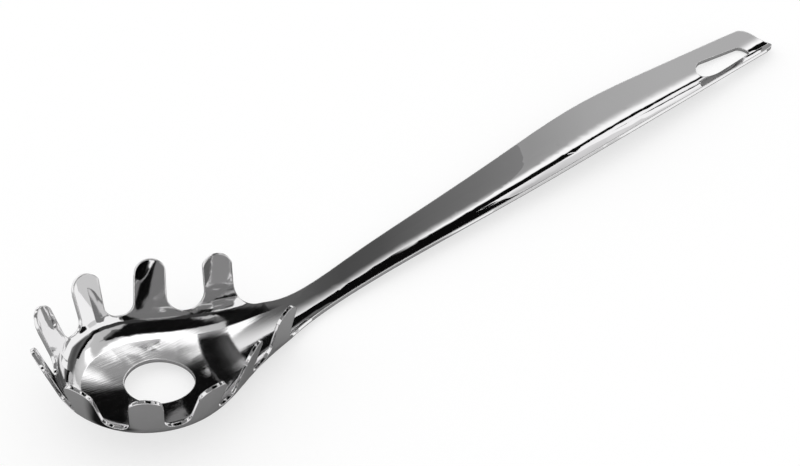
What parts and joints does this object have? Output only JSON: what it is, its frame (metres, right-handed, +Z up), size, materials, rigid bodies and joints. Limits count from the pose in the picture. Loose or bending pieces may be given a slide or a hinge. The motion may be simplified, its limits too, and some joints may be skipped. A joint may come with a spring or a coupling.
{
  "type": "pasta server",
  "caption": "Slotted pasta server pressed from one sheet of steel: oval bowl with upright tines and a round hole in its floor, narrow neck, and trough-shaped handle with a teardrop hang hole.",
  "frame": {"origin": "middle of the outline seen from above, at the height of the surface that the server lies on, heel and handle end down", "axes": "+X along the handle towards the hang hole, +Y to the side, +Z up out of the bowl's mouth"},
  "size_m": [0.317, 0.0698, 0.0313],
  "materials": {
    "stainless_steel": "mirror polished, with a fine satin on the bowl's floor"
  },
  "bodies": {
    "root": {"pasta_server": "stainless_steel"}
  },
  "joints": []
}
